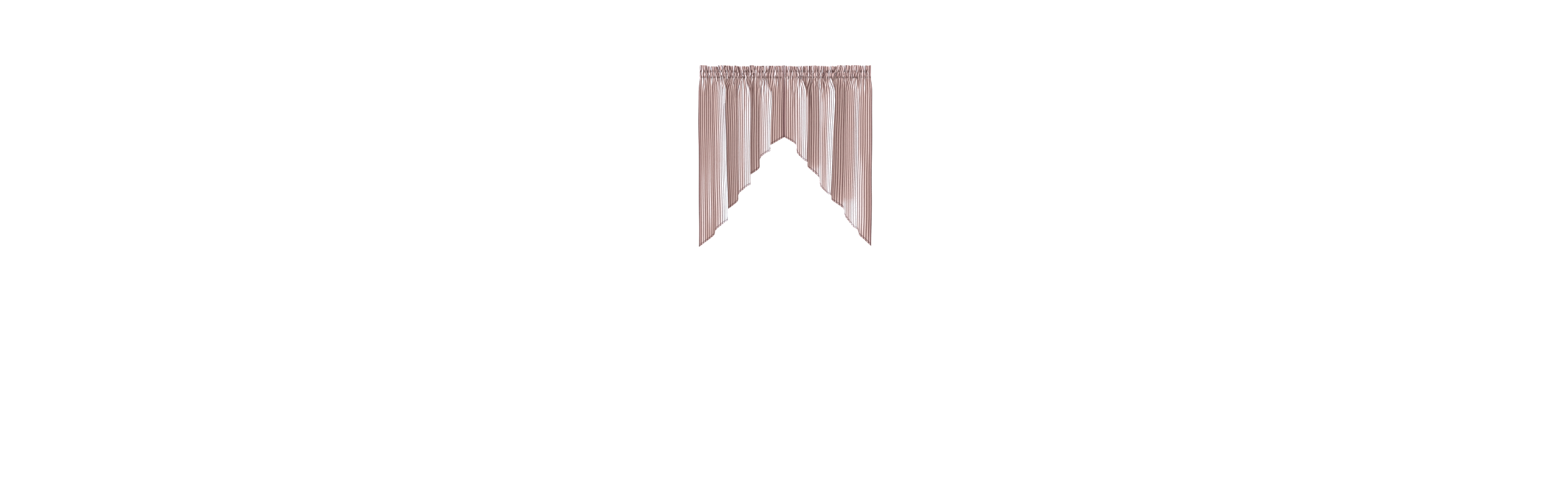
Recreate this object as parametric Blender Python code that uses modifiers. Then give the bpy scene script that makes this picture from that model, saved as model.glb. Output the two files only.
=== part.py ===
"""A pair of tailored swag curtains: two gathered panels with long outer tails.

Each side is a heading (stand-up ruffle and hollow rod pocket) and a draped panel that hangs from it
in soft folds down to a slanted hem. X runs along the rod, -Y is the room side, +Z is up, and the
origin is the middle of the top edge. Sizes are in millimetres and become metres in the meshes.
"""

import math
from collections import namedtuple

import bmesh
import bpy
import numpy as np

MM = 0.001

# Driving dimensions
HEADER = 33.0  # ruffle above the upper seam
POCKET = 28.0  # seam to seam, as it stands open on a rod
POCKET_HALF_DEPTH = 10.5  # outside of the pocket, front or back of the rod's line
SEAM_THICK = 2.4  # both layers of cloth, sewn together
POCKET_SHOULDER = 0.78  # its depth a third of the way to a seam, as a share
POCKET_WALL = 1.7
CLOTH = 2.0  # thickness of a panel
NODE_GAP = 0.3
OUTER_EDGE = 431.0  # both headings end this far from the middle
MEETING_X = -6.8  # where the two panels meet
MEETING_GAP = 1.0

# Gathers
FLUTE_PITCH = 27.0  # ruffle flutes, on average
FLUTE_DEPTH = 3.4
PUCKER_DEPTH = 1.0  # what is left of a flute on the pocket and its seams
TOP_DIP = 4.0  # how far the ruffle's top edge dips between flutes

# Folds: they open over this height below the pocket, and drift sideways from a level to the hem
FOLD_OPENS_OVER = 78.0
DRIFT_FROM = 180.0
SWAY = 0.9  # the threads' slow side-to-side wander on the way down
SWAY_LENGTH = 340.0
SWAY_SPREAD = 60.0

# Mesh density
HEADING_STATIONS = 58
SAMPLES_PER_CONTROL = 3
PANEL_ROWS = 10
ROW_CROWDING = 1.6  # rows lie closer together near the heading
FOOT_ROW, CREST_ROW, FLAT_ROW = 2, 6, 9  # a fold's marks, as places among its control points

SEAM_TOP = -HEADER
SEAM_LOW = -(HEADER + POCKET)
PANEL_TOP = SEAM_LOW - NODE_GAP

# One row for each fold, left to right. From the flat on its left (back_l) the cloth steps forward to
# the foot of a ramp, which gets steeper towards the crest (front). There it turns, tucks behind it by
# the reach, and goes on as the flat on its right (back_r). The drops are how far the hem lies below
# the top edge on the left and right of the step and of the crest. The heads are where the foot, the
# crest and the flat on its right are gathered into the heading.
Fold = namedtuple(
    "Fold",
    "step_x step_hem_x crest_x crest_hem_x back_l foot front back_r reach reach_hem "
    "step_drop_l step_drop_r crest_drop_l crest_drop_r foot_head crest_head flat_head",
)
Edge = namedtuple("Edge", "x hem_x depth drop")
Panel = namedtuple("Panel", "name heading_from heading_to left_edge folds right_edge")

LEFT = Panel(
    name="left",
    heading_from=-OUTER_EDGE,
    heading_to=MEETING_X - MEETING_GAP / 2,
    left_edge=Edge(-434, -434, 24, 914),
    folds=(
        Fold(-364, -355, -301, -286, -19, -17, 24, -20, 18, 16, 850, 826, 781, 716, -345, -306, -289),
        Fold(-241, -239, -173, -175, -20, 0, 23, -18, 19, 16, 680, 642, 602, 545, -222, -192, -166),
        Fold(-133, -131, -68, -75, -18, 2, 26, 8, 9, 9, 516, 461, 434, 399, -142, -98, -58),
    ),
    right_edge=Edge(MEETING_X - MEETING_GAP / 2, MEETING_X - MEETING_GAP / 2, -12, 361),
)
RIGHT = Panel(
    name="right",
    heading_from=MEETING_X + MEETING_GAP / 2,
    heading_to=OUTER_EDGE,
    left_edge=Edge(MEETING_X + MEETING_GAP / 2, MEETING_X + MEETING_GAP / 2, 2, 361),
    folds=(
        Fold(53, 53, 116, 111, -12, 1, 17, -26, 18, -1, 399, 446, 486, 516, 74, 94, 126),
        Fold(168, 170, 249, 227, -24, 4, 27, -32, 20, -5, 566, 614, 652, 680, 188, 217, 240),
        Fold(303, 295, 368, 356, -41, -19, 12, 11, -12, -12, 722, 764, 822, 862, 324, 366, 386),
    ),
    right_edge=Edge(435, 432, 4, 910),
)


def flute(x):
    """The gathers' wave at x, from -1 to 1, uneven in pitch and height."""
    phase = 2 * math.pi * x / FLUTE_PITCH + 1.3 * np.sin(x / 37.0) + 0.8 * np.sin(x / 14.0 + 1.0)
    return np.sin(phase) * (0.78 + 0.22 * np.sin(x / 23.0 + 0.6))


def smooth_step(value):
    t = np.clip(value, 0.0, 1.0)
    return t * t * (3 - 2 * t)


def fold_controls(fold):
    """The control points of one fold: x, x at the hem, depth towards the room, drop of the hem."""
    rise = fold.front - fold.foot
    halfway = (fold.front + fold.back_r) / 2
    step_drop = (fold.step_drop_l + fold.step_drop_r) / 2
    crest_drop = (fold.crest_drop_l + fold.crest_drop_r) / 2
    tuck = (-fold.reach, -fold.reach_hem)
    onward = (max(7, -2 * fold.reach), max(7, -2 * fold.reach_hem))
    rows = (
        # along from step (0) to crest (1), offsets in x above and at the hem, depth, drop
        (0.00, (5, 5), fold.back_l, fold.step_drop_l),
        (0.00, (-2, -2), 0.35 * fold.back_l + 0.65 * fold.foot, step_drop),
        (0.00, (6, 6), fold.foot + 2, fold.step_drop_r),
        (0.48, (0, 0), fold.foot + 0.21 * rise, 0.5 * fold.step_drop_r + 0.5 * fold.crest_drop_l),
        (1.00, (-15, -15), fold.foot + 0.56 * rise, 0.12 * fold.step_drop_r + 0.88 * fold.crest_drop_l),
        (1.00, (-2, -2), fold.front - 1, fold.crest_drop_l),
        (1.00, (2, 2), fold.front + 4, fold.crest_drop_l),
        (1.00, tuck, halfway, crest_drop),
        (1.00, tuck, fold.back_r + 3, 0.2 * fold.crest_drop_l + 0.8 * fold.crest_drop_r),
        (1.00, onward, fold.back_r - 1, fold.crest_drop_r),
    )
    ramp = fold.crest_x - fold.step_x
    ramp_at_hem = fold.crest_hem_x - fold.step_hem_x
    return [
        (fold.step_x + ramp * along + above, fold.step_hem_x + ramp_at_hem * along + at_hem, depth, drop)
        for along, (above, at_hem), depth, drop in rows
    ]


def midpoint(a, b):
    return tuple((p + q) / 2 for p, q in zip(a, b))


def panel_controls(panel):
    """All control points of a panel, one of them on each flat, and the places of the folds' marks."""
    controls = [tuple(panel.left_edge)]
    marks = []
    for fold in panel.folds:
        rows = fold_controls(fold)
        controls.append(midpoint(controls[-1], rows[0]))
        marks.extend(len(controls) + row for row in (FOOT_ROW, CREST_ROW, FLAT_ROW))
        controls.extend(rows)
    controls.append(midpoint(controls[-1], panel.right_edge))
    controls.append(tuple(panel.right_edge))
    return np.array(controls), marks


def spline(controls, samples):
    """A cubic B-spline through the first and last control, with its points evenly spread."""
    ends = 2 * controls[0] - controls[1], 2 * controls[-1] - controls[-2]
    c = np.vstack([ends[0], controls, ends[1]])
    rows = []
    for i in range(len(c) - 3):
        for k in range(samples):
            t = k / samples
            weights = (
                (1 - t) ** 3 / 6,
                (3 * t**3 - 6 * t**2 + 4) / 6,
                (-3 * t**3 + 3 * t**2 + 3 * t + 1) / 6,
                t**3 / 6,
            )
            rows.append(sum(w * c[i + j] for j, w in enumerate(weights)))
    rows.append(controls[-1])
    return np.array(rows)


def gathered_x(panel, section, marks):
    """Where the warp threads of an open section enter the heading, evenly from one mark to the next."""
    steps = np.hypot(np.diff(section[:, 0]), np.diff(section[:, 2]))
    cloth = np.concatenate([[0.0], np.cumsum(steps)])
    heads = [x for fold in panel.folds for x in (fold.foot_head, fold.crest_head, fold.flat_head)]
    places = cloth[[0, *marks, len(section) - 1]]
    return np.interp(cloth, places, [panel.heading_from, *heads, panel.heading_to])


def draped_points(panel):
    """The panel's middle surface, rows from the heading down to the hem."""
    controls, marks = panel_controls(panel)
    section = spline(controls, SAMPLES_PER_CONTROL)
    x_head = gathered_x(panel, section, [SAMPLES_PER_CONTROL * mark for mark in marks])
    x_open, x_hem, depth, drop = section.T
    rows = []
    for k in range(PANEL_ROWS + 1):
        t = (k / PANEL_ROWS) ** ROW_CROWDING
        below = -PANEL_TOP + (drop + PANEL_TOP) * t
        opened = smooth_step((below + PANEL_TOP) / FOLD_OPENS_OVER)
        drift = np.clip((below - DRIFT_FROM) / (drop - DRIFT_FROM), 0, 1)
        sway = SWAY * np.sin(2 * math.pi * below / SWAY_LENGTH + x_open / SWAY_SPREAD)
        x = x_head + (x_open + (x_hem - x_open) * drift + sway - x_head) * opened
        y = -(PUCKER_DEPTH * flute(x_head) * (1 - opened) + depth * opened)
        rows.append(np.stack([x, y, -below], axis=1))
    return np.array(rows)


def make_panel(panel, material, collection):
    """A grid whose columns are warp threads, moved to the draped surface and given thickness."""
    points = draped_points(panel)
    rows, columns = points.shape[:2]
    bm = bmesh.new()
    bmesh.ops.create_grid(bm, x_segments=columns - 1, y_segments=rows - 1, size=0.5)
    bm.verts.ensure_lookup_table()
    for v in bm.verts:
        column = round((v.co.x + 0.5) * (columns - 1))
        row = round((0.5 - v.co.y) * (rows - 1))
        v.co = points[row, column] * MM
    obj = add_object(f"{panel.name}_panel", bm, material, collection)
    solid = obj.modifiers.new("cloth", "SOLIDIFY")
    solid.thickness = CLOTH * MM
    solid.offset = 0
    return obj


def heading_section(x):
    """Outer and inner loops (y, z) of the heading at x. Outer: front up, then back down."""
    wave = flute(x)
    top = -TOP_DIP * (0.5 - 0.5 * wave)
    half_seam, pucker = SEAM_THICK / 2, PUCKER_DEPTH * wave
    middle = (SEAM_TOP + SEAM_LOW) / 2
    bulge = POCKET_HALF_DEPTH + pucker
    shoulder = POCKET_SHOULDER * bulge
    side = (
        # half thickness, how far the middle swings to the front, height
        (half_seam, pucker, SEAM_LOW),
        (shoulder, 0, middle - 0.32 * POCKET),
        (bulge, 0, middle),
        (shoulder, 0, middle + 0.32 * POCKET),
        (half_seam, pucker, SEAM_TOP),
        (half_seam, 0.7 * FLUTE_DEPTH * wave, 0.5 * SEAM_TOP),
        (half_seam, FLUTE_DEPTH * wave, top),
    )
    front = [(-half - swing, z) for half, swing, z in side]
    back = [(half - swing, z) for half, swing, z in reversed(side)]
    tunnel = (
        (shoulder - POCKET_WALL, middle - 0.29 * POCKET),
        (bulge - POCKET_WALL, middle),
        (shoulder - POCKET_WALL, middle + 0.29 * POCKET),
    )
    inner = [(-pucker, SEAM_LOW + SEAM_THICK)]
    inner += [(-half, z) for half, z in tunnel]
    inner += [(-pucker, SEAM_TOP - SEAM_THICK)]
    inner += [(half, z) for half, z in reversed(tunnel)]
    return front + back, inner


def close_end(bm, outer, inner, facing_left):
    """Joins the loops of an end station: the pocket's mouth stays open between them."""
    last = len(outer) - 1
    mouth = len(inner)
    faces = [(outer[0], inner[0], outer[last])]
    for k in range(4):
        faces.append((outer[k], outer[k + 1], inner[k + 1], inner[k]))
        faces.append((outer[last - k], inner[-k % mouth], inner[-(k + 1) % mouth], outer[last - k - 1]))
    faces.append((outer[4], outer[last - 4], inner[4]))
    faces.append((outer[4], outer[5], outer[last - 5], outer[last - 4]))
    faces.append((outer[5], outer[6], outer[last - 6], outer[last - 5]))
    for corners in faces:
        bm.faces.new(corners if facing_left else corners[::-1])


def make_heading(panel, material, collection):
    """Ruffle and rod pocket, lofted along the rod so that the pocket is open at both ends."""
    bm = bmesh.new()
    stations = []
    for x in np.linspace(panel.heading_from, panel.heading_to, HEADING_STATIONS + 1):
        loops = heading_section(x)
        stations.append([[bm.verts.new((x * MM, y * MM, z * MM)) for y, z in loop] for loop in loops])
    for here, there in zip(stations, stations[1:]):
        for loop, (a, b) in enumerate(zip(here, there)):
            for k in range(len(a)):
                n = (k + 1) % len(a)
                quad = (a[k], b[k], b[n], a[n])
                bm.faces.new(quad if loop == 0 else quad[::-1])
    close_end(bm, *stations[0], facing_left=True)
    close_end(bm, *stations[-1], facing_left=False)
    bmesh.ops.recalc_face_normals(bm, faces=bm.faces)
    return add_object(f"{panel.name}_heading", bm, material, collection)


def add_object(name, bm, material, collection):
    mesh = bpy.data.meshes.new(name)
    bm.to_mesh(mesh)
    bm.free()
    mesh.materials.append(material)
    mesh.shade_smooth()
    obj = bpy.data.objects.new(name, mesh)
    collection.objects.link(obj)
    return obj


def make_material(name, color):
    material = bpy.data.materials.new(name)
    material.use_nodes = True
    shader = material.node_tree.nodes["Principled BSDF"]
    shader.inputs["Base Color"].default_value = (*color, 1)
    shader.inputs["Roughness"].default_value = 0.9
    shader.inputs["Metallic"].default_value = 0
    return material


def main():
    for obj in list(bpy.data.objects):
        bpy.data.objects.remove(obj)
    collection = bpy.data.collections.new("swag_and_tail_drape")
    bpy.context.scene.collection.children.link(collection)
    for panel, shade in ((LEFT, 0.0), (RIGHT, 0.02)):
        heading = make_material(f"{panel.name}_heading_ticking", (0.60 - shade, 0.40, 0.37))
        cloth = make_material(f"{panel.name}_panel_ticking", (0.66 - shade, 0.48, 0.45))
        make_heading(panel, heading, collection)
        make_panel(panel, cloth, collection)


main()
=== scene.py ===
import math
from collections import namedtuple

import bmesh
import bpy
import numpy as np
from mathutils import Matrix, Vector


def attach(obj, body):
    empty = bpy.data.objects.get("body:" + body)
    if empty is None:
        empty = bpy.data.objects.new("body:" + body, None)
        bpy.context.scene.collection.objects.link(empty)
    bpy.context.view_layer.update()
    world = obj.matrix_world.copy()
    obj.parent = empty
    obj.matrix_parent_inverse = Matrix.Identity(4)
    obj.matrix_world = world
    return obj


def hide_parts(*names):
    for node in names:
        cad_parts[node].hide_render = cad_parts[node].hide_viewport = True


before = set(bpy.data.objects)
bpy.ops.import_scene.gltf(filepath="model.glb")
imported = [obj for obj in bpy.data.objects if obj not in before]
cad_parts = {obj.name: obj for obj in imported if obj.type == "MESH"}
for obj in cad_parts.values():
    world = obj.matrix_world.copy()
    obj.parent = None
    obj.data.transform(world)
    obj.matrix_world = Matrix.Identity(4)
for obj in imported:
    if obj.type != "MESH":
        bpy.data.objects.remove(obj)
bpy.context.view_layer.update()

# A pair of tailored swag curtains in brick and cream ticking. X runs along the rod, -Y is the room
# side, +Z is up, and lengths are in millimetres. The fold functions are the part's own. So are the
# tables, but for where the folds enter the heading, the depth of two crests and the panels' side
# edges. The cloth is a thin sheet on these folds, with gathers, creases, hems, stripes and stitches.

MM = 0.001

# Heading and panels, as in the part but for the gap and the lap where the panels meet
HEADER = 33.0
POCKET = 28.0
POCKET_HALF_DEPTH = 10.5
OUTER_EDGE = 431.0
MEETING_X = -6.8
MEETING_GAP = 0.6
MEETING_LAP = 2.4  # the right panel hangs this far over the left one
TOP_DIP = 4.0
FOLD_OPENS_OVER = 78.0
DRIFT_FROM = 180.0
SWAY = 0.9
SWAY_LENGTH = 340.0
SWAY_SPREAD = 60.0
FOOT_ROW, CREST_ROW, FLAT_ROW = 2, 6, 9
SEAM_TOP = -HEADER
SEAM_LOW = -(HEADER + POCKET)

# The cloth itself
FLAT_WIDTH = 676.8  # of one panel, between the folds of its side hems
THICK = 0.45
SIDE_HEM = 8.5
HEM = 8.8
HEM_WIDENS = 1.45  # at most, measured straight down, where the hem runs steeply
STEEPEST = 3.0  # slope of the hem that its turning still follows
LAYER = 0.8  # from the middle of one layer to the next, where cloth is turned over
HEM_TURN, SIDE_TURN = 0.9, 0.7  # how far from the edge the turned layer is fully behind
ABOVE_ALL_HEMS = 500.0  # what the heading's cloth says of its distance from the hem
STRIPE = 11.6  # one brick stripe and one cream stripe
DARK = 5.6
EDGE_STRIPE = 2.0  # from a side edge to the middle of its brick stripe
STITCH, STITCH_GAP = 2.7, 0.7
SEAM_THREAD, HEM_THREAD = 0.22, 0.20  # radius
SEAM_IN = 1.2  # from a side hem's turned edge to its stitches

# One stitch: places along it, how far out it stands there, and its share of the full radius
STITCH_PLACES = (0.0, 0.22, 0.5, 0.78, 1.0)
STITCH_LIFTS = (-0.25, 0.10, 0.20, 0.10, -0.25)
STITCH_TAPER = (0.35, 0.9, 1.0, 0.9, 0.35)

# How round the pocket and the ruffle stand open, and what is turned in below the pocket at the back
POCKET_SQUARENESS, POCKET_ROUNDING = 2.3, 0.72
POCKET_SPARE = 1.1  # kept off its half depth, for the gathers
RUFFLE_CLOSED, RUFFLE_PUFF = 0.5, 0.35  # half its depth at the ends, and more in between, in layers
TURNED_IN, TURNED_OUT = 3.0, 1.2  # how far below the seam it ends, and how far back, in thicknesses

# Mesh density
FINE = 16  # section samples per control point
COLUMNS = 500
POCKET_ROWS = 11
RUFFLE_ROWS = 9
RIDGE_ANGLES = (35, 90, 145)  # degrees round the ruffle's top edge
PANEL_ROWS = 80
ROW_CROWDING = 1.35
HEM_SHARES = (1.0, 0.72, 0.44, 0.18, 0.05, 0.0)  # of the hem's depth, from its seam to its edge

Fold = namedtuple(
    "Fold",
    "step_x step_hem_x crest_x crest_hem_x back_l foot front back_r reach reach_hem "
    "step_drop_l step_drop_r crest_drop_l crest_drop_r foot_head crest_head flat_head",
)
Edge = namedtuple("Edge", "x hem_x depth drop")
Panel = namedtuple("Panel", "name heading_from heading_to left_edge folds right_edge seed")

LEFT = Panel(
    name="left",
    heading_from=-OUTER_EDGE,
    heading_to=MEETING_X - MEETING_GAP / 2,
    left_edge=Edge(-436.5, -434, 24, 914),
    folds=(
        Fold(-364, -355, -301, -286, -19, -17, 24, -20, 18, 16, 850, 826, 781, 716, -350, -311, -277),
        Fold(-241, -239, -173, -175, -20, 0, 21, -18, 19, 16, 680, 642, 602, 545, -226, -190, -157),
        Fold(-133, -131, -68, -75, -18, 2, 23, 8, 9, 9, 516, 461, 434, 399, -117, -84, -51),
    ),
    right_edge=Edge(MEETING_X + MEETING_LAP / 2, MEETING_X + MEETING_LAP / 2, -12, 361),
    seed=11,
)
RIGHT = Panel(
    name="right",
    heading_from=MEETING_X + MEETING_GAP / 2,
    heading_to=OUTER_EDGE,
    left_edge=Edge(MEETING_X - MEETING_LAP / 2, MEETING_X - MEETING_LAP / 2, 2, 361),
    folds=(
        Fold(53, 53, 116, 111, -12, 1, 17, -26, 18, -1, 399, 446, 486, 516, 63, 94, 130),
        Fold(168, 170, 249, 227, -24, 4, 27, -32, 20, -5, 566, 614, 652, 680, 182, 230, 263),
        Fold(303, 295, 368, 356, -41, -19, 12, 11, -12, -12, 722, 764, 822, 862, 325, 373, 394),
    ),
    right_edge=Edge(437, 432.5, 4, 910),
    seed=23,
)

# Soft creases on the panels. Each follows the cloth from one drop to another: its place along X at
# both ends, its width, and how far it stands out (or sinks in, below zero).
Crease = namedtuple("Crease", "x_from drop_from x_to drop_to width height")
CREASES = (
    Crease(-356, 56, -377, 128, 7, 5.4),
    Crease(-382, 110, -371, 235, 7, -4.2),
    Crease(-341, 52, -330, 150, 8, 3.6),
    Crease(-318, 50, -306, 128, 6, 5.4),
    Crease(-309, 72, -305, 135, 5, -6.0),
    Crease(-290, 48, -291, 165, 6, 5.4),
    Crease(-262, 55, -258, 120, 8, 3.0),
    Crease(-218, 56, -247, 190, 7, 4.8),
    Crease(-232, 60, -254, 170, 6, -4.2),
    Crease(-209, 48, -209, 250, 7, 5.4),
    Crease(-192, 60, -174, 175, 6, 6.0),
    Crease(-183, 52, -168, 140, 5, -4.2),
    Crease(-139, 62, -134, 135, 7, -5.4),
    Crease(-150, 50, -150, 120, 6, 3.6),
    Crease(-112, 118, -108, 200, 8, 4.2),
    Crease(-99, 52, -77, 155, 6, 5.4),
    Crease(-50, 56, -75, 160, 6, 4.8),
    Crease(-80, 48, -78, 118, 6, 3.6),
    Crease(-33, 50, -36, 125, 6, 3.0),
    Crease(-18, 50, -20, 140, 5, 2.4),
    Crease(14, 48, 12, 140, 6, 3.6),
    Crease(38, 50, 36, 130, 7, -3.6),
    Crease(62, 52, 60, 110, 6, 3.6),
    Crease(79, 52, 105, 165, 6, 5.4),
    Crease(128, 52, 111, 130, 6, 4.8),
    Crease(119, 60, 117, 120, 5, -4.8),
    Crease(146, 50, 148, 120, 6, 3.0),
    Crease(184, 56, 160, 125, 6, 5.4),
    Crease(177, 80, 176, 190, 7, 4.2),
    Crease(219, 50, 251, 155, 7, 6.0),
    Crease(203, 50, 207, 130, 6, 3.0),
    Crease(262, 50, 258, 120, 5, -4.2),
    Crease(280, 50, 280, 115, 6, 3.0),
    Crease(317, 52, 298, 120, 6, 5.4),
    Crease(348, 48, 351, 225, 8, 4.8),
    Crease(332, 50, 330, 120, 6, 3.0),
    Crease(388, 52, 367, 200, 7, 4.2),
    Crease(408, 50, 404, 150, 7, 3.0),
    Crease(374, 60, 364, 240, 6, -3.0),
    Crease(-440, 430, -440, 1100, 34, -16.0),
    Crease(-365, 330, -361, 880, 19, 11.0),
    Crease(208, 240, 203, 720, 22, -12.0),
    Crease(-434, 90, -434, 340, 30, 6.0),
    Crease(-404, 50, -400, 150, 10, 6.0),
    Crease(-38, 160, -38, 340, 15, 4.5),
    Crease(66, 140, 66, 400, 20, -6.5),
    Crease(330, 140, 326, 880, 24, -8.0),
    Crease(440, 100, 440, 520, 34, -5.0),
    Crease(396, 410, 403, 905, 24, 14.0),
)

# How the gathers change on the way down the heading: the swing of its broad flutes, of the gathers
# and of the small tucks that the stitches draw in, then how far the threads wander sideways there.
Level = namedtuple("Level", "z flute gather tuck wander")
LEVELS = (
    Level(0, 1.45, 0.50, 0.10, 1.0),
    Level(-18, 1.25, 0.75, 0.25, 1.0),
    Level(SEAM_TOP, 0.80, 1.20, 0.70, 1.2),
    Level((SEAM_TOP + SEAM_LOW) / 2, 0.35, 1.40, 0.80, 2.2),
    Level(SEAM_LOW, 0.45, 1.25, 0.70, 1.4),
    Level(-82, 0.90, 1.00, 0.10, 1.8),
    Level(-112, 0.95, 0.70, 0.00, 1.6),
    Level(-155, 0.65, 0.30, 0.00, 1.0),
    Level(-235, 0.00, 0.00, 0.00, 0.0),
)
PIT_TOP, PIT_LOW = 11.0, 8.0  # how deep the stitches draw the cloth in between two gathers
PIT_REACH = 4.5
PIT_SPREAD = 0.40
EVENNESS = 0.5  # of the gathers in the ruffle; at the lower seam they crowd towards the folds
MEAN_FULLNESS = 1.6
LEAST_SPARE, MOST_SPARE = 0.15, 1.6
PLEATING = 0.9
FLUTE_RELIEF = 0.62
GATHER_RELIEF = 1.45

# Uneven waves along the cloth: the shortest and the longest, the weakest and the strongest
FLUTES = (44, 88, 0.70, 1.15)
GATHERS = (13, 25, 0.65, 1.30)
TUCKS = (8, 13, 0.50, 1.30)
FADES = (20, 60, 0.35, 1.30)  # how far down the gathers reach
MOST_WAVES = 100

# Slow random waves: about how long, and how large
SHIFT = (54, 2.0)  # of the gathers' phase
ASIDE = (28, 1.0)  # of the threads, along the heading
FLOP = (92, 5.5)  # of the ruffle, forwards and back
LEAN = (66, 4.2)  # of the ruffle, along the heading
TOP_WAVE = (24, 0.8)

# The ruffle's top edge: each flute's run has a height of its own, with nicks in between
TOP_LOW, TOP_HIGH = -1.4 * TOP_DIP, 0.4
TOP_LIMIT = 1.2
RUN_MARGIN = 1.6
NICK_DEPTH, NICK_WIDTH = 4.5, 3

# How far along the cloth things level off or die away
HEAD_REACH = 16
EDGE_REACH, FLUTE_EDGE_REACH = 22, 60
SHORT_REACH, LONG_REACH = 22, 60
HELD_REACH = 9

# Slight waves down the drape
RIPPLES = 5
RIPPLE_LENGTH, RIPPLE_SIZE = (26, 70), (0.35, 0.8)
RIPPLE_DROP = 160  # in which a wave moves sideways by a radian at most

# A slow random wave: how many sines, how much longer or shorter and weaker each is, and its reach
WAVE_PARTS = 4
WAVE_STRETCH, WAVE_STRENGTH = (0.55, 1.8), (0.5, 1.0)
WAVE_PEAK = 1.5

CREASE_FADE = 4  # a crease fades in and out, each over this part of its length


def smooth_step(value):
    """0 below 0, 1 above 1, and a smooth rise in between."""
    t = np.clip(value, 0.0, 1.0)
    return t * t * (3 - 2 * t)


def wave(rng, length, size):
    """A slow random wave of about this length, seldom over this size."""
    parts = [
        (length * rng.uniform(*WAVE_STRETCH), rng.uniform(0, 2 * math.pi), rng.uniform(*WAVE_STRENGTH))
        for _ in range(WAVE_PARTS)
    ]
    peak = WAVE_PEAK * size / sum(part[2] for part in parts)
    return lambda x: peak * sum(a * np.sin(2 * math.pi * x / l + p) for l, p, a in parts)


# ---------------------------------------------------------------- the folds, as in the part


def fold_controls(fold):
    """The control points of one fold: x, x at the hem, depth towards the room, drop of the hem."""
    rise = fold.front - fold.foot
    halfway = (fold.front + fold.back_r) / 2
    step_drop = (fold.step_drop_l + fold.step_drop_r) / 2
    crest_drop = (fold.crest_drop_l + fold.crest_drop_r) / 2
    tuck = (-fold.reach, -fold.reach_hem)
    onward = (max(7, -2 * fold.reach), max(7, -2 * fold.reach_hem))
    rows = (
        # along from step (0) to crest (1), offsets in x above and at the hem, depth, drop
        (0.00, (5, 5), fold.back_l, fold.step_drop_l),
        (0.00, (-2, -2), 0.35 * fold.back_l + 0.65 * fold.foot, step_drop),
        (0.00, (6, 6), fold.foot + 2, fold.step_drop_r),
        (0.48, (0, 0), fold.foot + 0.21 * rise, 0.5 * fold.step_drop_r + 0.5 * fold.crest_drop_l),
        (1.00, (-15, -15), fold.foot + 0.56 * rise, 0.12 * fold.step_drop_r + 0.88 * fold.crest_drop_l),
        (1.00, (-2, -2), fold.front - 1, fold.crest_drop_l),
        (1.00, (2, 2), fold.front + 4, fold.crest_drop_l),
        (1.00, tuck, halfway, crest_drop),
        (1.00, tuck, fold.back_r + 3, 0.2 * fold.crest_drop_l + 0.8 * fold.crest_drop_r),
        (1.00, onward, fold.back_r - 1, fold.crest_drop_r),
    )
    ramp = fold.crest_x - fold.step_x
    ramp_at_hem = fold.crest_hem_x - fold.step_hem_x
    return [
        (fold.step_x + ramp * along + above, fold.step_hem_x + ramp_at_hem * along + at_hem, depth, drop)
        for along, (above, at_hem), depth, drop in rows
    ]


def midpoint(a, b):
    """Halfway between two control points."""
    return tuple((p + q) / 2 for p, q in zip(a, b))


def panel_controls(panel):
    """All control points of a panel, one of them on each flat, and the places of the folds' marks."""
    controls = [tuple(panel.left_edge)]
    marks = []
    for fold in panel.folds:
        rows = fold_controls(fold)
        controls.append(midpoint(controls[-1], rows[0]))
        marks.extend(len(controls) + row for row in (FOOT_ROW, CREST_ROW, FLAT_ROW))
        controls.extend(rows)
    controls.append(midpoint(controls[-1], panel.right_edge))
    controls.append(tuple(panel.right_edge))
    return np.array(controls), marks


def spline(controls, samples):
    """A cubic B-spline through the first and last control, with its points evenly spread."""
    ends = 2 * controls[0] - controls[1], 2 * controls[-1] - controls[-2]
    c = np.vstack([ends[0], controls, ends[1]])
    rows = []
    for i in range(len(c) - 3):
        for k in range(samples):
            t = k / samples
            weights = (
                (1 - t) ** 3 / 6,
                (3 * t**3 - 6 * t**2 + 4) / 6,
                (-3 * t**3 + 3 * t**2 + 3 * t + 1) / 6,
                t**3 / 6,
            )
            rows.append(sum(w * c[i + j] for j, w in enumerate(weights)))
    rows.append(controls[-1])
    return np.array(rows)


# ---------------------------------------------------------------- the cloth


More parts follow.
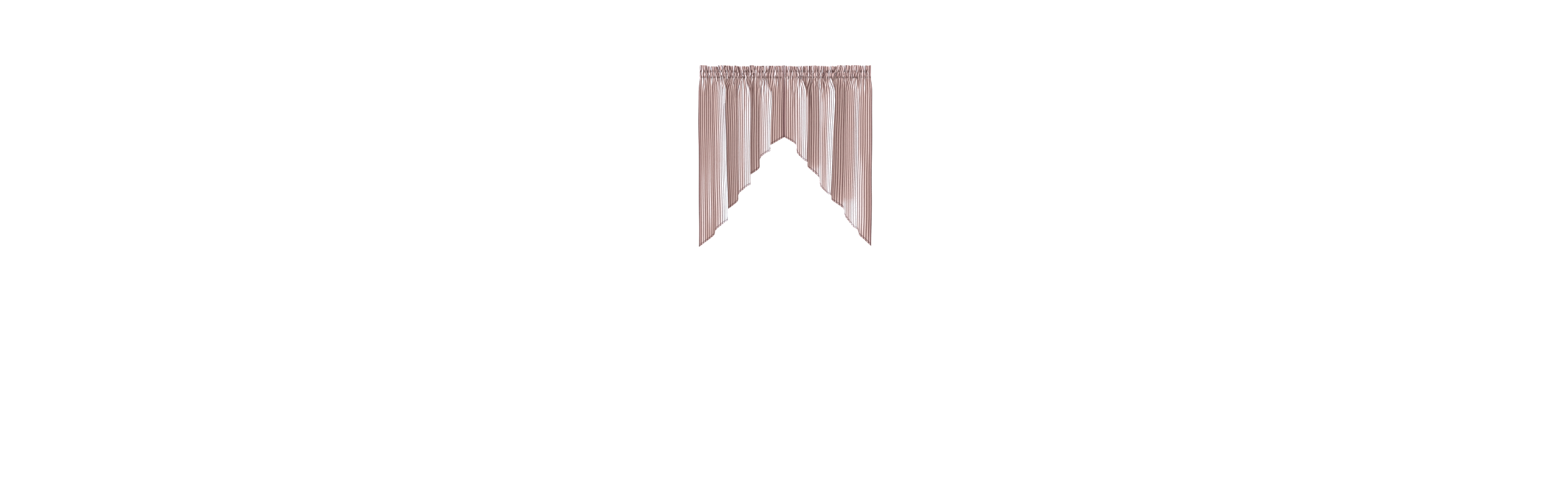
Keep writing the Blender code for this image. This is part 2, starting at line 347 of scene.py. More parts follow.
class Cloth:
    """One panel's cloth: where each warp thread lies at each level of the heading and the drape."""

    def __init__(self, panel):
        self.panel = panel
        rng = np.random.default_rng(panel.seed)
        controls, marks = panel_controls(panel)
        section = spline(controls, FINE)
        steps = np.hypot(np.diff(section[:, 0]), np.diff(section[:, 2]))
        cloth = np.concatenate([[0.0], np.cumsum(steps)])
        cloth *= FLAT_WIDTH / cloth[-1]
        self.s = np.linspace(0, FLAT_WIDTH, COLUMNS + 1)
        self.x_open, self.x_hem, self.depth, self.drop = (
            np.interp(self.s, cloth, column) for column in section.T
        )
        self.x_head = self.entering([0.0, *cloth[[FINE * mark for mark in marks]], FLAT_WIDTH])
        evenly = np.linspace(panel.heading_from, panel.heading_to, COLUMNS + 1)
        self.evened = EVENNESS * (evenly - self.x_head)
        self.make_gathers(rng)
        self.ripples = [
            (
                rng.uniform(*RIPPLE_LENGTH),
                rng.uniform(0, 2 * math.pi),
                rng.uniform(-1, 1),
                rng.uniform(*RIPPLE_SIZE),
            )
            for _ in range(RIPPLES)
        ]

    def entering(self, places):
        """Where the threads enter the heading, from where each fold's foot, crest and flat do."""
        heads = [x for fold in self.panel.folds for x in (fold.foot_head, fold.crest_head, fold.flat_head)]
        x = np.interp(self.s, places, [self.panel.heading_from, *heads, self.panel.heading_to])
        step = self.s[1] - self.s[0]
        steady = np.linspace(x[0], x[-1], len(x))
        return steady + smoothed(x - steady, step, HEAD_REACH) * self.ends()

    def uneven(self, rng, shortest, longest, weakest, strongest):
        """Uneven waves along the cloth: where each starts, their phase, and each one's own strength."""
        lengths = rng.uniform(shortest, longest, MOST_WAVES)
        count = int(np.searchsorted(np.cumsum(lengths), FLAT_WIDTH))
        edges = np.concatenate([[0.0], np.cumsum(lengths[:count])])
        edges *= FLAT_WIDTH / edges[-1]
        phase = np.interp(self.s, edges, 2 * math.pi * np.arange(count + 1))
        strengths = rng.uniform(weakest, strongest, count)
        return edges, phase, np.interp(self.s, (edges[1:] + edges[:-1]) / 2, strengths)

    def make_gathers(self, rng):
        """Broad flutes, gathers and small tucks, all uneven, and how far down each one reaches."""
        edges, self.flute_phase, self.flute = self.uneven(rng, *FLUTES)
        _, self.gather_phase, self.gathers = self.uneven(rng, *GATHERS)
        _, self.tuck_phase, self.tuck = self.uneven(rng, *TUCKS)
        _, _, self.fade = self.uneven(rng, *FADES)
        self.shift = [wave(rng, *SHIFT) for _ in LEVELS]
        self.aside = [wave(rng, *ASIDE) for _ in LEVELS]
        self.flop = wave(rng, *FLOP)
        self.lean = wave(rng, *LEAN)
        runs = rng.uniform(TOP_LOW, TOP_HIGH, len(edges) - 1)
        ends = np.stack([edges[:-1] + RUN_MARGIN, edges[1:] - RUN_MARGIN], axis=1).ravel()
        self.height = np.interp(self.s, ends, np.repeat(runs, 2)) + wave(rng, *TOP_WAVE)(self.s)
        for edge, deep in zip(edges[1:-1], rng.uniform(0, NICK_DEPTH, len(edges))):
            self.height -= deep * np.exp(-(((self.s - edge) / NICK_WIDTH) ** 2))

    def enters_at(self, z):
        """The threads' places along the heading at height z: as at its lower seam, but more even above."""
        return self.x_head + self.evened * smooth_step((z - SEAM_LOW) / (HEADER + POCKET))

    def spare(self, z):
        """How much cloth each thread has to spare for folds and slants at height z, 1 on average."""
        crowding = 1 - np.gradient(self.enters_at(z), self.s)
        return np.clip(crowding / (1 - 1 / MEAN_FULLNESS), LEAST_SPARE, MOST_SPARE)

    def gather(self, z):
        """What the gathers add at height z, which may differ by thread: along X, and outwards."""
        z = np.broadcast_to(z, self.s.shape)
        low = np.where(z < SEAM_LOW, SEAM_LOW + (z - SEAM_LOW) / self.fade, z)
        heights = np.array([level.z for level in LEVELS])[::-1]
        t = np.interp(low, heights, np.arange(len(LEVELS))[::-1])
        first = np.clip(t.astype(int), 0, len(LEVELS) - 2)
        share = smooth_step(t - first)
        columns = np.arange(len(self.s))

        def mixed(values):
            values = np.array([value * np.ones(len(self.s)) for value in values])
            return values[first, columns] * (1 - share) + values[first + 1, columns] * share

        spare = self.spare(z)
        full = np.sqrt(spare)
        shift = mixed([f(self.s) for f in self.shift])
        flute = mixed([level.flute for level in LEVELS]) * self.flute * self.ends(FLUTE_EDGE_REACH)
        flute = full * flute * pleated(self.flute_phase + 0.5 * shift)
        finer = mixed([level.gather for level in LEVELS]) * self.gathers
        finer = finer * pleated(self.gather_phase + shift)
        tuck = mixed([level.tuck for level in LEVELS]) * self.tuck
        finer = full * (finer + tuck * np.sin(self.tuck_phase + 2 * shift))
        drawn_in = PIT_TOP * np.exp(-(((z - SEAM_TOP) / PIT_REACH) ** 2))
        drawn_in = drawn_in + PIT_LOW * np.exp(-(((z - SEAM_LOW) / PIT_REACH) ** 2))
        pit = drawn_in * self.gathers * np.exp((np.cos(self.gather_phase + shift) - 1) / PIT_SPREAD)
        aside = mixed([level.wander * f(self.s) for level, f in zip(LEVELS, self.aside)])
        step = self.s[1] - self.s[0]
        along = level_off(np.cumsum(np.cos(flute + finer)) * step, step, LONG_REACH)
        out = FLUTE_RELIEF * level_off(np.cumsum(np.sin(flute)) * step, step, LONG_REACH)
        out = out + GATHER_RELIEF * level_off(np.cumsum(np.sin(finer)) * step, step, SHORT_REACH)
        return along + aside * spare * self.ends(), out - pit * self.ends()

    def ends(self, reach=EDGE_REACH):
        """0 at the panel's side edges and 1 from this far away from them."""
        return smooth_step(np.minimum(self.s, FLAT_WIDTH - self.s) / reach)

    def top(self):
        """Height of the ruffle's top edge."""
        return np.minimum(self.height, TOP_LIMIT) * self.ends()

    def heading_row(self, z, half, side):
        """Points of the heading at height z, on its front (side -1) or back (side 1) layer."""
        along, out = self.gather(z)
        free = np.clip((z - SEAM_TOP) / HEADER, 0, 1) * self.ends()
        x = self.enters_at(z) + along + free * self.spare(z) * self.lean(self.s)
        y = side * half - out - free**1.5 * self.flop(self.s)
        return np.stack([x, y, z * np.ones(len(self.s))], axis=1)

    def drape_row(self, below):
        """Points of the drape, each thread at its own distance below the top edge."""
        opened = smooth_step((below + SEAM_LOW) / FOLD_OPENS_OVER)
        drift = np.clip((below - DRIFT_FROM) / (self.drop - DRIFT_FROM), 0, 1)
        sway = SWAY * np.sin(2 * math.pi * below / SWAY_LENGTH + self.x_open / SWAY_SPREAD)
        along, out = self.gather(-below)
        x_drape = self.x_open + (self.x_hem - self.x_open) * drift + sway
        x = self.x_head + (x_drape - self.x_head) * opened
        depth = self.depth + self.ripple(below)
        y = -(THICK + out + (depth - THICK) * opened + creased(x, below))
        x = x + along
        return np.stack([x, y, -below], axis=1)

    def ripple(self, below):
        """Slight waves down the drape that use up what fullness the folds leave."""
        return sum(
            size * np.sin(2 * math.pi * self.s / length + phase + lean * below / RIPPLE_DROP)
            for length, phase, lean, size in self.ripples
        )


def pleated(phase):
    """The slope along small pleats: broad crests and hollows, short steep flanks."""
    return PLEATING * np.sin(phase) ** 3 + (1 - 0.75 * PLEATING) * np.sin(phase)


def smoothed(values, step, reach):
    """A running mean over about this reach to each side."""
    half = int(reach / step)
    kernel = np.hanning(2 * half + 3)[1:-1]
    return np.convolve(np.pad(values, half, mode="edge"), kernel / kernel.sum(), mode="valid")


def level_off(values, step, reach):
    """Takes the slow part out of a running sum, so that the gathers leave the threads where they hang."""
    extra = values - np.linspace(values[0], values[-1], len(values))
    order = np.arange(len(values))
    held = smooth_step(np.minimum(order, order[::-1]) * step / HELD_REACH)
    return (extra - smoothed(extra, step, reach)) * held


def creased(x, below):
    """How far the listed creases move the cloth at x and this far below the top edge."""
    total = np.zeros_like(x)
    for crease in CREASES:
        t = (below - crease.drop_from) / (crease.drop_to - crease.drop_from)
        at = crease.x_from + (crease.x_to - crease.x_from) * np.clip(t, 0, 1)
        ends = smooth_step(CREASE_FADE * t) * smooth_step(CREASE_FADE * (1 - t))
        total += crease.height * ends * np.exp(-(((x - at) / crease.width) ** 2))
    return total


def normals_of(points):
    """Unit normals of a grid of points, towards the back of the cloth."""
    down = np.gradient(points, axis=0)
    across = np.gradient(points, axis=1)
    n = np.cross(across, down)
    return n / np.maximum(np.linalg.norm(n, axis=2, keepdims=True), 1e-9)


def at_threads(grid, s, places):
    """The grid's values at these places of the cloth, from its columns' places s."""
    columns = np.interp(places, s, np.arange(len(s)))
    low = np.clip(columns.astype(int), 0, len(s) - 2)
    share = (columns - low).reshape(-1, *(1 for _ in grid.shape[2:]))
    return grid[:, low] * (1 - share) + grid[:, low + 1] * share


def turned_sides(points, normals, s):
    """Adds both side hems, turned to the back: the wider grid's points and thread places."""
    inner = np.array([SIDE_HEM, SIDE_HEM * 0.66, SIDE_HEM * 0.33, SIDE_TURN])
    lift = LAYER * smooth_step(inner / SIDE_TURN)
    strips, places = [], []
    for edge, order in ((0, 1), (FLAT_WIDTH, -1)):
        behind = np.abs(edge - inner)
        strip = at_threads(points, s, behind) + at_threads(normals, s, behind) * lift[:, None]
        strips.append(strip[:, ::order])
        places.append((edge - order * inner)[::order])
    points = np.concatenate([strips[0], points, strips[1]], axis=1)
    return points, np.concatenate([places[0], s, places[1]])


def heading_grid(cloth):
    """The heading's cloth from its turned-in edge up the back, over the top and down the front."""
    middle, half_pocket, half_layer = (SEAM_TOP + SEAM_LOW) / 2, POCKET / 2, LAYER / 2
    fold = cloth.top() - half_layer
    levels = []
    for t in np.linspace(-1, 1, POCKET_ROWS + 1):
        bulge = max(0.0, 1 - abs(t) ** POCKET_SQUARENESS) ** POCKET_ROUNDING
        levels.append((middle + half_pocket * t, THICK + (POCKET_HALF_DEPTH - POCKET_SPARE) * bulge))
    for k in range(1, RUFFLE_ROWS + 1):
        t = k / RUFFLE_ROWS
        puff = RUFFLE_CLOSED + RUFFLE_PUFF * math.sin(math.pi * t)
        levels.append((SEAM_TOP + (fold - SEAM_TOP) * t, LAYER * puff))
    back = [cloth.heading_row(z, half, 1) for z, half in levels]
    front = [cloth.heading_row(z, half, -1) for z, half in levels]
    ridge = [
        cloth.heading_row(fold + half_layer * math.sin(a), half_layer * math.cos(a), 1)
        for a in map(math.radians, RIDGE_ANGLES)
    ]
    tail = cloth.heading_row(SEAM_LOW - TURNED_IN, THICK * TURNED_OUT, 1)
    points = np.array([tail, *back, *ridge, *front[::-1]])
    steps = np.median(np.linalg.norm(np.diff(points, axis=0), axis=2), axis=1)
    lengths = np.concatenate([[0.0], np.cumsum(steps)])
    lengths -= lengths[-1]
    return points, lengths


def panel_grid(cloth):
    """The draped cloth from the lower seam to the hem, and the hem turned up behind it."""
    slope = np.clip(np.gradient(cloth.drop, cloth.s), -STEEPEST, STEEPEST)
    widening = np.minimum(np.sqrt(1 + slope**2), HEM_WIDENS)
    hem = HEM * widening
    crowded = [(k / PANEL_ROWS) ** ROW_CROWDING for k in range(PANEL_ROWS + 1)]
    rows = [cloth.drape_row(-SEAM_LOW + (cloth.drop - hem + SEAM_LOW) * t) for t in crowded]
    rows += [cloth.drape_row(cloth.drop - hem * share) for share in HEM_SHARES[1:]]
    points = np.array(rows)
    normals = normals_of(points)
    length = -points[:, :, 2] + SEAM_LOW
    above = (cloth.drop + points[:, :, 2]) / widening
    alpha = np.arctan(slope)
    turned, turned_normals, u_turned, v_turned, above_turned = [], [], [], [], []
    for row, share in reversed(list(enumerate(HEM_SHARES[:-1], PANEL_ROWS))):
        up = hem * share
        lift = LAYER * smooth_step(up / HEM_TURN)
        turned.append(points[row] + normals[row] * lift[:, None])
        turned_normals.append(normals[row])
        u_turned.append(cloth.s - 2 * up * np.cos(alpha) * np.sin(alpha))
        v_turned.append(length[row] + 2 * up * np.cos(alpha) ** 2)
        above_turned.append(-HEM * share * np.ones(len(up)))
    points = np.concatenate([points, turned])
    normals = np.concatenate([normals, turned_normals])
    u = np.concatenate([np.broadcast_to(cloth.s, length.shape), u_turned])
    v = np.concatenate([length, v_turned])
    return points, normals, u, v, np.concatenate([above, above_turned])


def sheet_object(name, points, u, v, above, material):
    """A grid of quads with a UV map in metres of cloth and each point's distance above the hem."""
    rows, columns = points.shape[:2]
    index = np.arange(rows * columns).reshape(rows, columns)
    corners = (index[:-1, :-1], index[1:, :-1], index[1:, 1:], index[:-1, 1:])
    quads = np.stack(corners, axis=-1).reshape(-1, 4)
    mesh = bpy.data.meshes.new(name)
    mesh.vertices.add(rows * columns)
    mesh.vertices.foreach_set("co", (points * MM).astype(np.float32).ravel())
    mesh.loops.add(quads.size)
    mesh.loops.foreach_set("vertex_index", quads.astype(np.int32).ravel())
    mesh.polygons.add(len(quads))
    mesh.polygons.foreach_set("loop_start", np.arange(0, quads.size, 4, dtype=np.int32))
    mesh.update(calc_edges=True)
    uv = np.stack([u, v], axis=-1).reshape(-1, 2)[quads.ravel()] * MM
    layer = mesh.uv_layers.new(name="cloth")
    layer.uv.foreach_set("vector", uv.astype(np.float32).ravel())
    attribute = mesh.attributes.new("above_hem", "FLOAT", "POINT")
    attribute.data.foreach_set("value", above.astype(np.float32).ravel())
    mesh.materials.append(material)
    mesh.shade_smooth()
    obj = bpy.data.objects.new(name, mesh)
    bpy.context.scene.collection.objects.link(obj)
    solid = obj.modifiers.new("thickness", "SOLIDIFY")
    solid.thickness = THICK * MM
    solid.offset = 0
    return obj


def stitch_object(name, lines, material):
    """Rows of single stitches: each a short four-sided thread that dips into the cloth at its ends."""
    verts, faces = [], []
    for points, normals, radius in lines:
        steps = np.linalg.norm(np.diff(points, axis=0), axis=1)
        run = np.concatenate([[0.0], np.cumsum(steps)])
        count = int(run[-1] / (STITCH + STITCH_GAP))
        for k in range(count):
            start = (k + 0.5) * run[-1] / count - STITCH / 2
            at = start + STITCH * np.array(STITCH_PLACES)
            centre = np.stack([np.interp(at, run, points[:, i]) for i in range(3)], axis=1)
            out = np.stack([np.interp(at, run, normals[:, i]) for i in range(3)], axis=1)
            out /= np.linalg.norm(out, axis=1, keepdims=True)
            tangent = np.gradient(centre, axis=0)
            side = np.cross(tangent, out)
            side /= np.maximum(np.linalg.norm(side, axis=1, keepdims=True), 1e-9)
            size = radius * np.array(STITCH_TAPER)
            base = len(verts)
            for i, lift in enumerate(STITCH_LIFTS):
                middle = centre[i] + out[i] * lift
                for a, b in ((1, 0), (0, 1), (-1, 0), (0, -1)):
                    verts.append(middle + size[i] * (a * side[i] + b * out[i]))
            last = len(verts) - 4
            for ring in range(base, last, 4):
                for j in range(4):
                    a, b = ring + j, ring + (j + 1) % 4
                    faces.append((a, b, b + 4, a + 4))
            faces.append((base + 3, base + 2, base + 1, base))
            faces.append((last, last + 1, last + 2, last + 3))
    mesh = bpy.data.meshes.new(name)
    mesh.from_pydata([tuple(v * MM) for v in verts], [], faces)
    mesh.materials.append(material)
    mesh.shade_smooth()
    obj = bpy.data.objects.new(name, mesh)
    bpy.context.scene.collection.objects.link(obj)
    return obj


# ---------------------------------------------------------------- materials


class Nodes:
    """Short helpers for a material's node tree."""

    def __init__(self, name):
        self.material = bpy.data.materials.new(name)
        self.material.use_nodes = True
        self.tree = self.material.node_tree
        self.shader = self.tree.nodes["Principled BSDF"]

    def add(self, kind, **settings):
        node = self.tree.nodes.new(kind)
        for key, value in settings.items():
            setattr(node, key, value)
        return node

    def link(self, source, target):
        self.tree.links.new(source, target)

    def feed(self, node, index, value):
        if isinstance(value, (int, float, tuple)):
            node.inputs[index].default_value = value
        else:
            self.link(value, node.inputs[index])

    def math(self, operation, a, b=0.0, c=0.0):
        node = self.add("ShaderNodeMath", operation=operation)
        self.feed(node, 0, a)
        self.feed(node, 1, b)
        if operation == "MULTIPLY_ADD":
            self.feed(node, 2, c)
        return node.outputs[0]

    def ramp(self, value, low, high, to_low=0.0, to_high=1.0):
        node = self.add("ShaderNodeMapRange", interpolation_type="SMOOTHSTEP")
        for index, number in enumerate((value, low, high, to_low, to_high)):
            self.feed(node, index, number)
        return node.outputs[0]

    def noise(self, at, scale=1.0, detail=2.0):
        node = self.add("ShaderNodeTexNoise")
        self.link(at, node.inputs["Vector"])
        node.inputs["Scale"].default_value = scale
        node.inputs["Detail"].default_value = detail
        return node.outputs[0]

    def streaks(self, s, v, across, down, detail=2.0):
        """Noise on the cloth, this quick across the warp and down it."""
        node = self.add("ShaderNodeCombineXYZ")
        self.link(self.math("MULTIPLY", s, across), node.inputs[0])
        self.link(self.math("MULTIPLY", v, down), node.inputs[1])
        return self.noise(node.outputs[0], detail=detail)

    def blend(self, share, a, b, kind="MIX"):
        node = self.add("ShaderNodeMix", data_type="RGBA", blend_type=kind)
        self.feed(node, 0, share)
        self.feed(node, 6, a)
        self.feed(node, 7, b)
        return node.outputs[2]

    def tinted(self, color, tint):
        return self.blend(1.0, color, tint, "MULTIPLY")

    def grey(self, value):
        node = self.add("ShaderNodeCombineColor")
        for index in range(3):
            self.link(value, node.inputs[index])
        return node.outputs[0]

    def bump(self, height, strength, distance):
        node = self.add("ShaderNodeBump")
        node.inputs["Strength"].default_value = strength
        node.inputs["Distance"].default_value = distance
        self.link(height, node.inputs["Height"])
        self.link(node.outputs[0], self.shader.inputs["Normal"])


# Each pair is the darkest and the palest yarn
BRICK = ((0.145, 0.066, 0.066, 1), (0.255, 0.128, 0.126, 1))
CREAM = ((0.83, 0.71, 0.69, 1), (0.95, 0.83, 0.81, 1))
THREAD = ((0.66, 0.48, 0.48, 1), (0.86, 0.70, 0.68, 1))
WARP_PITCH, WEFT_PITCH = 0.62, 0.70
STRIPE_BLUR = 0.3  # half the width over which one stripe turns into the next
SLOW_WANDER, QUICK_WANDER = 1.2, 0.5  # of the stripes' edges, from one side to the other
WEAVE_SHADE, MEAN_SHADE = 0.05, 0.97

# Painted shade of the turned hems: the side hems, the lower hem, and a groove along its edge and one along
# its stitches, each darkened
SIDE_HEM_SHADE = (0.52, 0.36, 0.40, 1)
HEM_SHADE, HEM_SHADE_SHARE = (0.92, 0.82, 0.84, 1), 0.85
GROOVE_SHADE, GROOVE_SHADE_SHARE = (0.20, 0.08, 0.10, 1), 0.97
GROOVE_IN = 0.9  # from the hem's turned edge to the middle of the upper groove
GROOVE_FROM, GROOVE_TO = 1.1, 1.9  # from its middle, between which the upper groove fades
RIM_FROM, RIM_TO = 1.5, 2.5  # from the edge, between which the lower one does


def ticking_material(name, brick_painted_shade, cream_painted_shade):
    """Woven ticking: even brick and cream warp stripes and visible yarns, the brick and cream multiplied by
    these tints (painted shade where they are below 1), and painted shade on the turned hems.
    """
    n = Nodes(name)
    uv = n.add("ShaderNodeUVMap", uv_map="cloth")
    split = n.add("ShaderNodeSeparateXYZ")
    n.link(uv.outputs[0], split.inputs[0])
    s = n.math("MULTIPLY", split.outputs[0], 1 / MM)
    v = n.math("MULTIPLY", split.outputs[1], 1 / MM)

    # Stripes, with edges that wander a little as yarns do
    slow = n.streaks(s, v, across=0.02, down=0.012)
    slow = n.math("MULTIPLY_ADD", slow, SLOW_WANDER, -SLOW_WANDER / 2)
    quick = n.streaks(s, v, across=0.9, down=0.16, detail=1.0)
    quick = n.math("MULTIPLY_ADD", quick, QUICK_WANDER, -QUICK_WANDER / 2)
    whole_stripes = 2000  # keeps what FRACT is given above zero
    in_step = (whole_stripes + 0.5) * STRIPE - EDGE_STRIPE
    from_stripe = n.math("ADD", n.math("ADD", s, n.math("ADD", slow, quick)), in_step)
    along = n.math("FRACT", n.math("DIVIDE", from_stripe, STRIPE))
    off_middle = n.math("MULTIPLY", n.math("ABSOLUTE", n.math("SUBTRACT", along, 0.5)), STRIPE)
    dark = n.ramp(off_middle, DARK / 2 - STRIPE_BLUR, DARK / 2 + STRIPE_BLUR, 1.0, 0.0)

    # Yarns: warp streaks run down, slubs run across
    warp = n.streaks(s, v, across=2.1, down=0.035, detail=1.0)
    weft = n.streaks(s, v, across=0.05, down=1.9, detail=1.0)
    # The tints darken the brick and cream: painted shade wherever they are below 1.
    brick = n.tinted(n.blend(warp, *BRICK), (*brick_painted_shade, 1))
    cream = n.tinted(n.blend(weft, *CREAM), (*cream_painted_shade, 1))
    cloth = n.blend(dark, cream, brick)

    # Plain weave
    across = n.math("SINE", n.math("MULTIPLY", s, 2 * math.pi / WARP_PITCH))
    down = n.math("SINE", n.math("MULTIPLY", v, 2 * math.pi / WEFT_PITCH))
    weave = n.math("MULTIPLY", across, down)
    woven = n.tinted(cloth, n.grey(n.math("MULTIPLY_ADD", weave, WEAVE_SHADE, MEAN_SHADE)))

    # Painted shade: turned hems are two or three layers, so they are darkened for the light those layers
    # keep out. The lower hem has more painted shade along its edge and its stitches.
    above = n.add("ShaderNodeAttribute", attribute_name="above_hem", attribute_type="GEOMETRY")
    from_edge = n.math("ABSOLUTE", above.outputs["Fac"])
    at_hem = n.ramp(from_edge, HEM + 0.3, HEM + 0.7, 1.0, 0.0)
    from_side = n.math("MINIMUM", s, n.math("SUBTRACT", FLAT_WIDTH, s))
    at_side = n.ramp(from_side, SIDE_HEM - 0.3, SIDE_HEM + 0.1, 1.0, 0.0)
    from_groove = n.math("ABSOLUTE", n.math("SUBTRACT", from_edge, HEM - GROOVE_IN))
    upper = n.ramp(from_groove, GROOVE_FROM, GROOVE_TO, 1.0, 0.0)
    groove_shade = n.math("MAXIMUM", n.ramp(from_edge, RIM_FROM, RIM_TO, 1.0, 0.0), upper)
    # painted shade on the side hems, the lower hem, its edge and its stitched groove
    color = n.blend(at_side, woven, n.tinted(woven, SIDE_HEM_SHADE))
    color = n.blend(n.math("MULTIPLY", at_hem, HEM_SHADE_SHARE), color, n.tinted(color, HEM_SHADE))
    color = n.blend(n.math("MULTIPLY", groove_shade, GROOVE_SHADE_SHARE), color, n.tinted(color, GROOVE_SHADE))
    n.link(color, n.shader.inputs["Base Color"])

    n.shader.inputs["Roughness"].default_value = 0.60
    n.shader.inputs["Specular IOR Level"].default_value = 1.0
    n.shader.inputs["Sheen Weight"].default_value = 0.18
    n.shader.inputs["Sheen Roughness"].default_value = 0.45

    # Relief of the weave, of slight crumpling and of the thicker yarns
    crumple = n.streaks(s, v, across=0.075, down=0.028, detail=3.0)
    height = n.math("ADD", n.math("MULTIPLY", weave, 0.05), n.math("MULTIPLY", crumple, 1.1))
    height = n.math("ADD", height, n.math("MULTIPLY", warp, 0.10))
    n.bump(height, strength=0.6, distance=MM)
    return n.material


def thread_material(name):
    """Pinkish cream sewing thread with its fibres."""
    n = Nodes(name)
    at = n.add("ShaderNodeTexCoord").outputs["Object"]
    fibre = n.noise(at, scale=2400.0)
    n.link(n.blend(fibre, *THREAD), n.shader.inputs["Base Color"])
    n.shader.inputs["Roughness"].default_value = 0.6
    n.bump(fibre, strength=0.4, distance=0.1 * MM)
    return n.material


# ---------------------------------------------------------------- the curtains


def stitch_line(points, normals, radius):
    """A line of stitches on the face of the cloth."""
    return points - normals * (THICK / 2), -normals, radius


def dress(panel, heading_cloth_painted_shade, panel_cloth, thread):
    """Makes one panel's three pieces: the heading's cloth, the draped cloth and their stitches."""
    cloth = Cloth(panel)
    points, lengths = heading_grid(cloth)
    normals = normals_of(points)
    seam_rows = (-1, -1 - POCKET_ROWS, 1, 1 + POCKET_ROWS)
    lines = [stitch_line(points[row], normals[row], SEAM_THREAD) for row in seam_rows]
    full, s = turned_sides(points, normals, cloth.s)
    u = np.broadcast_to(s, full.shape[:2])
    v = np.broadcast_to(lengths[:, None], full.shape[:2])
    above = np.full(u.shape, ABOVE_ALL_HEMS)
    heading = sheet_object(f"{panel.name}_heading_cloth_painted_shade", full, u, v, above, heading_cloth_painted_shade)
    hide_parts(f"{panel.name}_heading")
    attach(heading, "root")

    points, normals, u, v, above = panel_grid(cloth)
    full, s = turned_sides(points, normals, cloth.s)
    behind = np.abs(np.where(s > FLAT_WIDTH, 2 * FLAT_WIDTH - s, s))
    u, v, above = (at_threads(values, cloth.s, behind) for values in (u, v, above))
    u = u - behind + s
    drape = sheet_object(f"{panel.name}_panel_cloth", full, u, v, above, panel_cloth)
    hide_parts(f"{panel.name}_panel")
    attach(drape, "root")

    lines.append(stitch_line(points[PANEL_ROWS], normals[PANEL_ROWS], HEM_THREAD))
    inwards = SIDE_HEM - SEAM_IN
    down = slice(PANEL_ROWS + len(HEM_SHARES) - 1)
    for at in (inwards, FLAT_WIDTH - inwards):
        column = int(round(at / FLAT_WIDTH * COLUMNS))
        lines.append(stitch_line(points[down, column], normals[down, column], HEM_THREAD))
    stitches = stitch_object(f"{panel.name}_stitches", lines, thread)
    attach(stitches, "root")


# The heading's copy of the ticking is painted shade: its brick darkened and reddened and its cream a little
# darker, for the shade in its gathers.
heading_cloth_painted_shade = ticking_material("ticking_heading_painted_shade", (0.70, 0.62, 0.64), (1.0, 0.96, 0.98))
panel_cloth = ticking_material("ticking_panel", (1.0, 1.0, 1.0), (1.0, 1.0, 1.0))
thread = thread_material("sewing_thread")
for each in (LEFT, RIGHT):
    dress(each, heading_cloth_painted_shade, panel_cloth, thread)

# ---------------------------------------------------------------- stage, light and camera

FRAME_WIDTH, FRAME_HEIGHT = 2576, 819
PIXEL = 3.058  # millimetres of the hanging plane in one pixel of that frame
MIDDLE_X, TOP_Y = 1290.3, 106.8  # where the part's origin falls in it
LENS, SENSOR = 50.0, 36.0
FILL_LEFT, FILL_RIGHT = 1.54, 0.51  # strength of the soft light from either side
LEFT_TINT, RIGHT_TINT = (1.0, 0.91, 0.89), (1.0, 0.70, 0.63)
FLOOR_REACH, FLOOR_Z = 9.0, -2.0
BACKDROP_RADIUS = 17
FLOOR_GLOW, BACKDROP_GLOW = 0.55, 0.98


def stage_piece(name, mesh, glow):
    """A pale piece of the studio, which the camera sees and the cloth isn't lit by."""
    n = Nodes(f"{name}_paper")
    n.shader.inputs["Base Color"].default_value = (0.9, 0.9, 0.9, 1)
    n.shader.inputs["Roughness"].default_value = 1.0
    n.shader.inputs["Emission Color"].default_value = (1, 1, 1, 1)
    n.shader.inputs["Emission Strength"].default_value = glow
    mesh.materials.append(n.material)
    obj = bpy.data.objects.new(name, mesh)
    bpy.context.scene.collection.objects.link(obj)
    obj.visible_diffuse = obj.visible_glossy = obj.visible_transmission = obj.visible_shadow = False


def make_stage():
    """A pale floor well below the hanging cloth, and a pale dome all round."""
    floor = bpy.data.meshes.new("floor")
    corners = [(FLOOR_REACH * x, FLOOR_REACH * y, FLOOR_Z) for x, y in ((-1, -1), (1, -1), (1, 1), (-1, 1))]
    floor.from_pydata(corners, [], [(0, 1, 2, 3)])
    stage_piece("floor", floor, FLOOR_GLOW)
    dome = bmesh.new()
    bmesh.ops.create_uvsphere(dome, u_segments=48, v_segments=24, radius=BACKDROP_RADIUS)
    backdrop = bpy.data.meshes.new("backdrop")
    dome.to_mesh(backdrop)
    dome.free()
    stage_piece("backdrop", backdrop, BACKDROP_GLOW)


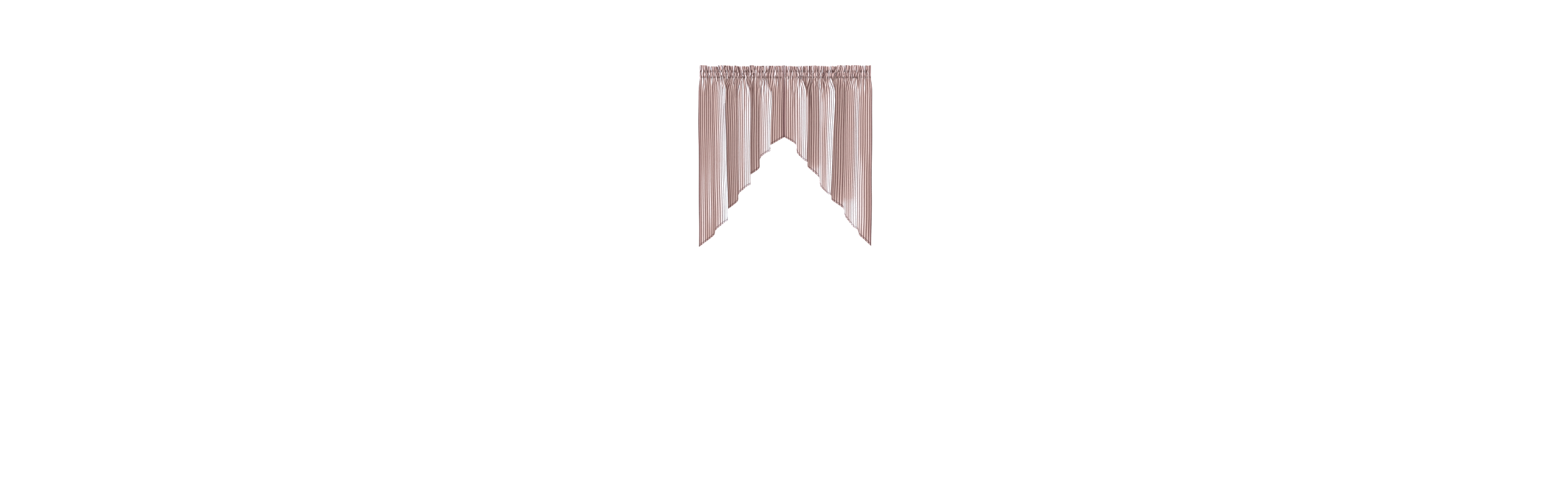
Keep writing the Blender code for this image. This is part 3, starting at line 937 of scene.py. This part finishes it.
def make_world():
    """Soft light from all round, less of it and warmer from the right."""
    world = bpy.data.worlds.new("studio")
    world.use_nodes = True
    tree = world.node_tree
    direction = tree.nodes.new("ShaderNodeTexCoord")
    split = tree.nodes.new("ShaderNodeSeparateXYZ")
    tree.links.new(direction.outputs["Generated"], split.inputs[0])
    share = tree.nodes.new("ShaderNodeMapRange")
    tree.links.new(split.outputs[0], share.inputs[0])
    share.inputs[1].default_value, share.inputs[2].default_value = -1.0, 1.0
    sky = tree.nodes.new("ShaderNodeMix")
    sky.data_type = "RGBA"
    tree.links.new(share.outputs[0], sky.inputs[0])
    sky.inputs[6].default_value = (*(FILL_LEFT * c for c in LEFT_TINT), 1)
    sky.inputs[7].default_value = (*(FILL_RIGHT * c for c in RIGHT_TINT), 1)
    tree.links.new(sky.outputs[2], tree.nodes["Background"].inputs["Color"])
    bpy.context.scene.world = world


def area_light(name, place, target, size, watts, color):
    """A soft rectangular light that shines on the target."""
    data = bpy.data.lights.new(name, "AREA")
    data.shape = "RECTANGLE"
    data.size, data.size_y = size
    data.energy = watts
    data.color = color
    obj = bpy.data.objects.new(name, data)
    obj.location = place
    obj.rotation_mode = "QUATERNION"
    obj.rotation_quaternion = (Vector(target) - Vector(place)).to_track_quat("-Z", "Y")
    bpy.context.scene.collection.objects.link(obj)


def make_camera():
    """Straight in front of the middle of the frame, as far off as its size asks."""
    data = bpy.data.cameras.new("camera")
    data.lens, data.sensor_width = LENS, SENSOR
    distance = FRAME_WIDTH * PIXEL * MM * LENS / SENSOR
    x = (FRAME_WIDTH / 2 - MIDDLE_X) * PIXEL * MM
    z = -(FRAME_HEIGHT / 2 - TOP_Y) * PIXEL * MM
    data.clip_end = 200
    obj = bpy.data.objects.new("camera", data)
    obj.location = (x, -distance, z)
    obj.rotation_euler = (math.radians(90), 0, 0)
    bpy.context.scene.collection.objects.link(obj)
    bpy.context.scene.camera = obj


make_stage()
make_world()
area_light(
    "key",
    place=(-6.0, -1.24, 0.53),
    target=(0, 0, -0.45),
    size=(3.2, 2.7),
    watts=390,
    color=(0.43, 0.90, 1.08),
)
make_camera()
bpy.context.scene.view_settings.view_transform = "Standard"
